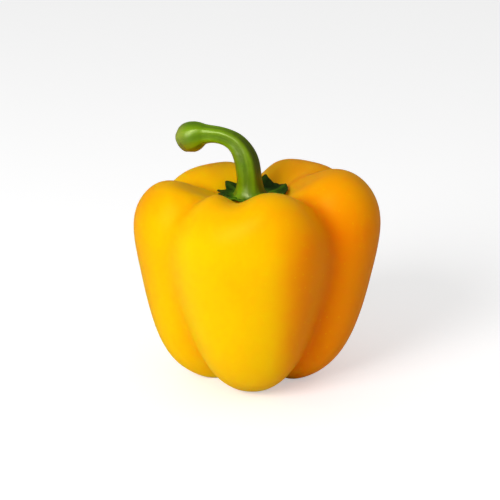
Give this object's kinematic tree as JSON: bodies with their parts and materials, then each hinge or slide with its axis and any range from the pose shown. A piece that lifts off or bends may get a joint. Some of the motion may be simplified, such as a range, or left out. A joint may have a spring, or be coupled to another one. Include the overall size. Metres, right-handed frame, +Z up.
{
  "type": "bell pepper",
  "caption": "Whole yellow bell pepper, lobed and blocky, standing on its lobe tips with green calyx and hooked stalk.",
  "frame": {"origin": "middle of the footprint, on the surface that the lobe tips stand on", "axes": "+Z up along the fruit towards the stalk, -Y towards the widest lobe, +X to the right of it"},
  "size_m": [0.0875, 0.0858, 0.0949],
  "materials": {
    "pepper_skin": "waxy, glossy fruit skin",
    "calyx_green": "dull leaf green",
    "stalk_green": "smooth, slightly waxy stalk"
  },
  "bodies": {
    "root": {"fruit": "pepper_skin", "calyx": "calyx_green", "stem": "stalk_green"}
  },
  "joints": []
}
